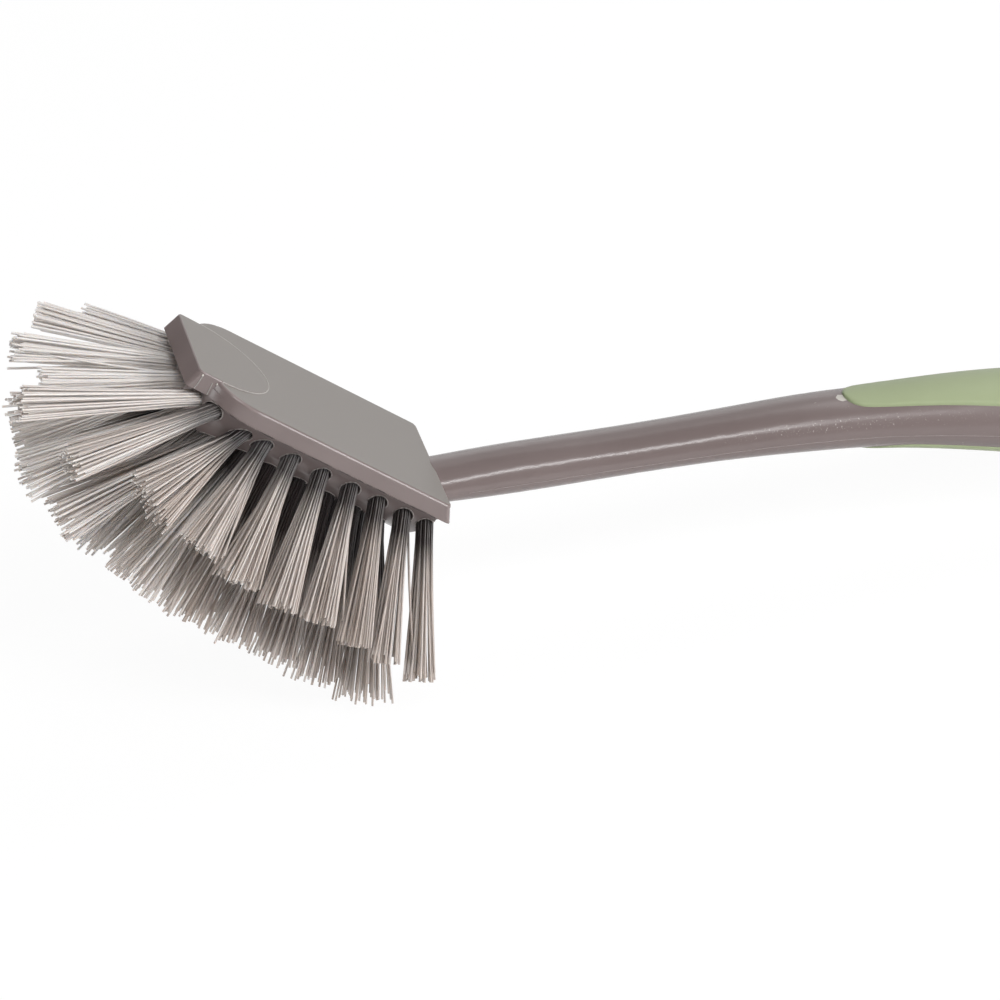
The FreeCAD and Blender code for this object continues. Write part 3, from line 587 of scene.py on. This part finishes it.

    # Tone of each strand, and the painted root shade that fades out above the hole, further up on some
    # strands
    chance = addNode(tree, "FunctionNodeRandomValue", {"ID": strand, "Seed": seeds[4]}, data_type="FLOAT")
    lower, higher = tuftBundle["soilDrift"]
    further = addNode(tree, "ShaderNodeMapRange", {"Value": short, "To Min": lower, "To Max": higher})
    rootShadeTop = addNode(tree, "ShaderNodeMath", {0: given["Soil End"], 1: further}, operation="ADD")
    fade = addNode(tree, "ShaderNodeMapRange", {
        "Value": share, "From Min": given["Soil Start"], "From Max": rootShadeTop, "To Min": 1.0, "To Max": 0.0},
        interpolation_type="SMOOTHSTEP")
    soil = addNode(tree, "ShaderNodeMath", {0: fade, 1: given["Soil"]}, operation="MULTIPLY")
    rootShaded = addNode(tree, "GeometryNodeStoreNamedAttribute", {
        "Geometry": placed, "Name": "strandSoil", "Value": soil}, data_type="FLOAT", domain="POINT")
    tone = addNode(tree, "ShaderNodeMapRange", {
        "Value": chance, "To Min": given["Darkest"], "To Max": given["Lightest"]})
    toned = addNode(tree, "GeometryNodeStoreNamedAttribute", {
        "Geometry": rootShaded, "Name": "strandTone", "Value": tone}, data_type="FLOAT", domain="POINT")

    section = addNode(tree, "GeometryNodeCurvePrimitiveCircle", {
        "Resolution": tuftBundle["sides"], "Radius": given["Filament Radius"]}, mode="RADIUS")
    swept = addNode(tree, "GeometryNodeCurveToMesh", {
        "Curve": toned, "Profile Curve": section, "Fill Caps": True})
    corners = addNode(tree, "GeometryNodeInputMeshFaceNeighbors").outputs["Vertex Count"]
    isSide = addNode(tree, "FunctionNodeCompare", {2: corners, 3: 4}, data_type="INT", operation="EQUAL")
    smooth = addNode(tree, "GeometryNodeSetShadeSmooth", {
        "Geometry": swept, "Selection": isSide}, domain="FACE")
    real = addNode(tree, "GeometryNodeRealizeInstances", {"Geometry": smooth})
    isCut = addNode(tree, "FunctionNodeBooleanMath", {0: isSide}, operation="NOT")
    sides = addNode(tree, "GeometryNodeSetMaterial", {"Geometry": real, "Material": material})
    done = addNode(tree, "GeometryNodeSetMaterial", {
        "Geometry": sides, "Selection": isCut, "Material": cutMaterial})
    addNode(tree, "NodeGroupOutput", {"Geometry": done})
    return tree


# What counts as an end of a CAD tuft's cone: how square to its axis, and how far out
coneEnd = {"facing": 0.9, "reach": 0.75}


# Where a CAD tuft's cone starts and ends, and how wide its cut end is
def tuftAxis(node):
    mesh = node.data
    corners = np.zeros(len(mesh.vertices) * 3)
    mesh.vertices.foreach_get("co", corners)
    corners = corners.reshape(-1, 3)
    middle = corners.mean(0)
    guess = np.linalg.svd(corners - middle, full_matrices=False)[2][0]
    ends = []
    for way in (1, -1):
        area, centre = 0.0, np.zeros(3)
        along = (corners - middle) @ (guess * way)
        for polygon in mesh.polygons:
            square = np.dot(polygon.normal, guess) * way > coneEnd["facing"]
            if square and along[list(polygon.vertices)].min() > along.max() * coneEnd["reach"]:
                area += polygon.area
                centre += np.array(polygon.center) * polygon.area
        ends.append((area, centre / area))
    (tipArea, tip), (_, root) = sorted(ends, key=lambda end: -end[0])
    return Vector(root), Vector(tip), math.sqrt(tipArea / math.pi)


def tuftCharacter(name):
    row = [row for row in tuftRows if row in name][0]
    return {**tuftRows[row], **tuftOnes.get(name, {})}


def buildTufts():
    tree = filamentTree(pbtFilament(), cutFilament())
    axes = {}
    for seed, name in enumerate(sorted(n for n in nodes if n.startswith("tuft_")), start=1):
        root, tip, tipRadius = axes[name] = tuftAxis(nodes[name])
        out = (tip - root).normalized()
        pushed = random.Random(seed)
        sway = Vector([pushed.uniform(-1, 1) * tuftBundle["sway"] for _ in range(3)])
        own = tuftCharacter(name)
        fanAlong, fanAcross = own["fan"]
        push = headTurn @ (Vector(own.get("push", (0, 0, 0))) * mm)
        words = name.split("_")
        item = meshObject(words[0] + "".join(word.capitalize() for word in words[1:]), [])
        growFrom(item, tree, {
            "Filaments": tuftBundle["filaments"], "Seed": seed * tuftBundle["seedStep"],
            "Root": root + out * tuftBundle["wireTop"], "Tip": tip + sway + push,
            "Row": headTurn @ Vector((1, 0, 0)),
            "Straight": tuftBundle["holeDepth"] - tuftBundle["wireTop"] + tuftBundle["collar"],
            "Root Reach": (tuftBundle["rootRadius"], tuftBundle["rootRadius"], 0),
            "Tip Reach": (tipRadius * fanAlong, tipRadius * fanAcross, 0),
            "Filament Radius": tuftBundle["filamentRadius"], "Ragged": tuftBundle["ragged"],
            "Wander": tuftBundle["wander"], "Clump": tuftBundle["clump"], "Bow": tuftBundle["bow"],
            "Soil": own["soil"], "Soil Start": own["fade"][0], "Soil End": own["fade"][1],
            "Darkest": own["tone"][0], "Lightest": own["tone"][1],
            "Stray Share": tuftBundle["strayShare"], "Stray Reach": tuftBundle["strayReach"],
        })
        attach(item, "root")
        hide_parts(name)
    return axes


tuftAxes = buildTufts()
print("tufts built:", len(tuftAxes))


# Fine lines of the moulding, each a thin ragged tube laid on its surface
def seamTree(material):
    tree, given = newGeometryTree("seam_" + material.name, (
        ("Geometry", "NodeSocketGeometry"), ("Radius", "NodeSocketFloat"), ("Ragged", "NodeSocketFloat"),
        ("Grain", "NodeSocketFloat")))
    path = addNode(tree, "GeometryNodeMeshToCurve", {"Mesh": given["Geometry"]})
    place = addNode(tree, "GeometryNodeInputPosition")
    noise = addNode(tree, "ShaderNodeTexNoise", {"Vector": place, "Scale": given["Grain"], "Detail": 2.0})
    lean = addNode(tree, "ShaderNodeVectorMath", {
        0: noise.outputs["Color"], 1: (0.5, 0.5, 0.5)}, operation="SUBTRACT")
    double = addNode(tree, "ShaderNodeMath", {0: given["Ragged"], 1: 2.0}, operation="MULTIPLY")
    offset = addNode(tree, "ShaderNodeVectorMath", {0: lean, 1: double}, operation="MULTIPLY")
    ragged = addNode(tree, "GeometryNodeSetPosition", {"Geometry": path, "Offset": offset})
    section = addNode(tree, "GeometryNodeCurvePrimitiveCircle", {
        "Resolution": 6, "Radius": given["Radius"]}, mode="RADIUS")
    swept = addNode(tree, "GeometryNodeCurveToMesh", {
        "Curve": ragged, "Profile Curve": section, "Fill Caps": True})
    smooth = addNode(tree, "GeometryNodeSetShadeSmooth", {"Geometry": swept}, domain="FACE")
    real = addNode(tree, "GeometryNodeRealizeInstances", {"Geometry": smooth})
    done = addNode(tree, "GeometryNodeSetMaterial", {"Geometry": real, "Material": material})
    addNode(tree, "NodeGroupOutput", {"Geometry": done})
    return tree


def buildSeam(name, runs, tree, settings):
    points = [point for run in runs for point in run]
    edges, first = [], 0
    for run in runs:
        edges += [(first + i, first + i + 1) for i in range(len(run) - 1)]
        first += len(run)
    item = meshObject(name, points, edges)
    growFrom(item, tree, {
        "Radius": settings["radius"], "Ragged": settings["ragged"], "Grain": 1 / settings["grain"]})
    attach(item, "root")


def mouldingSurface():
    mesh = nodes["head_and_handle"].data
    return BVHTree.FromPolygons([v.co for v in mesh.vertices], [list(p.vertices) for p in mesh.polygons])


def onto(surface, point):
    return surface.find_nearest(point)[0]


# Burrs: rings just outside the drilled holes, broken where the rim is in the way
holeBurr = {
    "ring": 2.22 * mm,
    "steps": 30,
    "reach": 2.2 * mm,
    "fewest": 4,            # a run of fewer points than this is left out
    "radius": 0.15 * mm, "ragged": 0.12 * mm, "grain": 0.9 * mm,
}


def burrRuns(surface):
    runs = []
    for root, tip, _ in tuftAxes.values():
        out = (tip - root).normalized()
        side = out.orthogonal().normalized()
        other = out.cross(side)
        mouth = root + out * tuftBundle["holeDepth"]
        run = []
        for i in range(holeBurr["steps"] + 1):
            turn = 2 * math.pi * i / holeBurr["steps"]
            rim = mouth + (side * math.cos(turn) + other * math.sin(turn)) * holeBurr["ring"]
            hit = surface.ray_cast(rim + out * holeBurr["reach"], -out, 2 * holeBurr["reach"])[0]
            if hit is not None:
                run.append(hit)
            if (hit is None or i == holeBurr["steps"]) and run:
                if len(run) >= holeBurr["fewest"]:
                    runs.append(run)
                run = []
    return runs


# The mould's parting ridge, down both sides of the neck and handle; millimetres in the head's frame
partingRidge = {
    "headLength": 67.0,
    "neckDrop": 4.7,
    "neckAngle": math.radians(37.8),
    "neckLength": 73.0,
    "bowRadius": 360.0,
    "start": 9.0, "finish": 204.0, "step": 2.0,
    "below": math.radians(4),  # the ridge lies this far under the widest line
    "reach": 30 * mm,
    "radius": 0.08 * mm, "ragged": 0.02 * mm, "grain": 6 * mm,
}


# Place and rising angle of the handle's axis in the head's frame, as in the CAD
def handlePlace(distance):
    straight = min(distance, partingRidge["neckLength"])
    turn = (distance - straight) / partingRidge["bowRadius"]
    chord, angle = 2 * partingRidge["bowRadius"] * math.sin(turn / 2), partingRidge["neckAngle"]
    x = partingRidge["headLength"] + math.cos(angle) * straight + math.cos(angle - turn / 2) * chord
    z = -partingRidge["neckDrop"] + math.sin(angle) * straight + math.sin(angle - turn / 2) * chord
    return headPoint(x, 0, z), angle - turn


def ridgeRuns(surface):
    below, reach = partingRidge["below"], partingRidge["reach"]
    runs = []
    for hand in (-1, 1):
        run = []
        distance = partingRidge["start"]
        while distance < partingRidge["finish"]:
            place, angle = handlePlace(distance)
            up = headTurn @ Vector((-math.sin(angle), 0, math.cos(angle)))
            way = Vector((0, hand, 0)) * math.cos(below) - up * math.sin(below)
            hit = surface.ray_cast(place + way * reach, -way, reach)[0]
            if hit is not None:
                run.append(hit)
            distance += partingRidge["step"]
        runs.append(run)
    return runs


# Moulded lines down each side of the scraper lip, in millimetres of the head's frame; their pale colour is a
# painted highlight on the rounded edges
lipCrease = {
    "lines": (((1.18, 12.0, -0.6), (1.26, 12.0, -2.4), (1.21, 12.0, -3.9)),
              ((4.05, 12.0, -0.9), (4.36, 12.0, -2.7), (4.6, 12.0, -3.9))),
    "radius": 0.13 * mm, "ragged": 0.04 * mm, "grain": 2 * mm,
}


def creaseRuns(surface):
    return [[onto(surface, headPoint(x, hand * y, z)) for x, y, z in line]
            for line in lipCrease["lines"] for hand in (-1, 1)]


# Painted highlights: pale specks where the lip's corners catch the light
lipSpeck = {
    "places": ((0.9, -11.95, -0.35), (4.9, -11.95, -0.75)),
    "length": 0.3,
    "radius": 0.24 * mm, "ragged": 0.0, "grain": 2 * mm,
}


def speckRuns(surface):
    ends = [(headPoint(x, y, z), headPoint(x + lipSpeck["length"], y, z)) for x, y, z in lipSpeck["places"]]
    return [[onto(surface, first), onto(surface, last)] for first, last in ends]


# The edge of the lip's tongue, laid on the top face, pale as a painted highlight along the edge
tongueEdge = {
    "lipLength": 5.2,
    "length": 15.85,
    "half": 11.85,
    "steps": 72,
    "sweep": math.radians(87),
    "lift": 5.0,
    "reach": 10 * mm,
    "radius": 0.13 * mm, "ragged": 0.02 * mm, "grain": 6 * mm,
}


def tongueRuns(surface):
    down = headTurn @ Vector((0, 0, -1))
    run = []
    for i in range(tongueEdge["steps"] + 1):
        turn = tongueEdge["sweep"] * (2 * i / tongueEdge["steps"] - 1)
        x = tongueEdge["lipLength"] + tongueEdge["length"] * math.cos(turn)
        above = headPoint(x, tongueEdge["half"] * math.sin(turn), tongueEdge["lift"])
        hit = surface.ray_cast(above, down, tongueEdge["reach"])[0]
        if hit is not None:
            run.append(hit)
    return [run]


# Flash along the foot of the rim, dark with painted shade under the rim's overhang
rimFlash = {
    "start": 7.0, "finish": 66.0, "step": 0.8,
    "height": -3.97,
    "outside": 40.0,
    "reach": 50 * mm,
    "radius": 0.15 * mm, "ragged": 0.16 * mm, "grain": 4 * mm,
}


def flashRuns(surface):
    runs = []
    for hand in (-1, 1):
        run = []
        along = rimFlash["start"]
        while along < rimFlash["finish"]:
            beside = headPoint(along, hand * rimFlash["outside"], rimFlash["height"])
            hit = surface.ray_cast(beside, Vector((0, -hand, 0)), rimFlash["reach"])[0]
            if hit is not None:
                run.append(hit)
            along += rimFlash["step"]
        runs.append(run)
    return runs


moulded = mouldingSurface()
highlightSeam = seamTree(patchyPolypropylene("rubbed"))
buildSeam("holeBurrs", burrRuns(moulded), seamTree(patchyPolypropylene("whitened")), holeBurr)
buildSeam("partingRidge", ridgeRuns(moulded), seamTree(patchyPolypropylene("partingLine")), partingRidge)
buildSeam("lipCreases", creaseRuns(moulded), highlightSeam, lipCrease)
buildSeam("lipSpecks", speckRuns(moulded), seamTree(patchyPolypropylene("torn")), lipSpeck)
buildSeam("tongueEdge", tongueRuns(moulded), highlightSeam, tongueEdge)
buildSeam("rimFlash", flashRuns(moulded), seamTree(patchyPolypropylene("grimy")), rimFlash)
print("burrs, parting ridge and flash built")


# Floor, light and camera
studio = {
    "floorSize": 5.0,
    "backdropHeight": 4.5,
    "backdropLeft": -1.2,
    "floorColour": "#f6f6f6",
    "backdrop": 1.04,
    "floorGlow": 0.9,
    "skyStrength": 0.04,
}


def paleFloor():
    material, tree = newMaterial("paleFloorPaper")
    path = addNode(tree, "ShaderNodeLightPath").outputs
    seen = addNode(tree, "ShaderNodeMath", {
        0: path["Is Camera Ray"], 1: path["Is Glossy Ray"]}, operation="MAXIMUM")
    seen = addNode(tree, "ShaderNodeMath", {0: seen, 1: path["Is Transmission Ray"]}, operation="MAXIMUM")
    share = addNode(tree, "ShaderNodeMath", {0: seen, 1: studio["floorGlow"]}, operation="MULTIPLY")
    glow = addNode(tree, "ShaderNodeEmission", {"Color": (1, 1, 1, 1), "Strength": studio["backdrop"]})
    paper = addNode(tree, "ShaderNodeBsdfDiffuse", {"Color": linear(studio["floorColour"])})
    mixed = addNode(tree, "ShaderNodeMixShader", {0: share, 1: paper, 2: glow})
    addNode(tree, "ShaderNodeOutputMaterial", {"Surface": mixed})
    return material


def buildStudio():
    half, high = studio["floorSize"] / 2, studio["backdropHeight"]
    left = studio["backdropLeft"]
    corners = [(-half, -half, 0), (half, -half, 0), (half, half, 0), (-half, half, 0)]
    corners += [(left, half, 0), (half, half, high), (left, half, high)]
    floor = meshObject("floorAndBackdrop", corners, faces=[(0, 1, 2, 4, 3), (4, 2, 5, 6)])
    floor.data.materials.append(paleFloor())
    world = bpy.data.worlds.new("softSky")
    scene.world = world
    world.use_nodes = True
    tree = world.node_tree
    tree.nodes.clear()
    path = addNode(tree, "ShaderNodeLightPath").outputs
    sky = addNode(tree, "ShaderNodeBackground", {"Color": (1, 1, 1, 1), "Strength": studio["skyStrength"]})
    white = addNode(tree, "ShaderNodeBackground", {"Color": (1, 1, 1, 1), "Strength": studio["backdrop"]})
    mixed = addNode(tree, "ShaderNodeMixShader", {0: path["Is Camera Ray"], 1: sky, 2: white})
    addNode(tree, "ShaderNodeOutputWorld", {"Surface": mixed})


lamps = {
    "boxFront": dict(place=(0.12, -0.7, 0.95), aim=(0.0, 0.0, 0.1), size=(0.65, 0.2), power=5.2),
    "boxRight": dict(place=(0.95, -0.7, 0.35), aim=(0.0, 0.0, 0.06), size=(0.6, 0.5), power=10.5),
    "keyBehind": dict(place=(0.72, 0.36, 0.95), aim=(0.0, 0.0, 0.06), size=(0.8, 0.6), power=4.2),
    "fillLeft": dict(place=(-1.0, -0.05, 0.28), aim=(-0.1, 0.0, 0.07), size=(0.5, 0.4), power=4.2),
    "rimBack": dict(place=(0.2, 1.15, 0.45), aim=(0.0, 0.0, 0.06), size=(1.2, 0.5), power=1.2),
}


def buildLamps():
    for name, lamp in lamps.items():
        data = bpy.data.lights.new(name, "AREA")
        data.shape = "RECTANGLE"
        data.size, data.size_y = lamp["size"]
        data.energy = lamp["power"]
        item = bpy.data.objects.new(name, data)
        item.location = lamp["place"]
        aim = Vector(lamp["aim"]) - Vector(lamp["place"])
        item.rotation_euler = aim.to_track_quat("-Z", "Y").to_euler()
        scene.collection.objects.link(item)


photoCamera = {
    "place": (-0.21768, -0.83726, 0.6323),
    "turn": (54.9616, 3.9625, -14.5057),  # degrees
    "lens": 169.44,
    "sensor": 36.0,
    "clip": (0.01, 20.0),
}


def buildCamera():
    data = bpy.data.cameras.new("photoCamera")
    data.sensor_width = photoCamera["sensor"]
    data.lens = photoCamera["lens"]
    data.clip_start, data.clip_end = photoCamera["clip"]
    item = bpy.data.objects.new("photoCamera", data)
    item.location = photoCamera["place"]
    item.rotation_euler = Euler([math.radians(a) for a in photoCamera["turn"]], "XYZ")
    scene.collection.objects.link(item)
    scene.camera = item


buildStudio()
buildLamps()
buildCamera()
scene.view_settings.view_transform = "Standard"
print("studio ready")
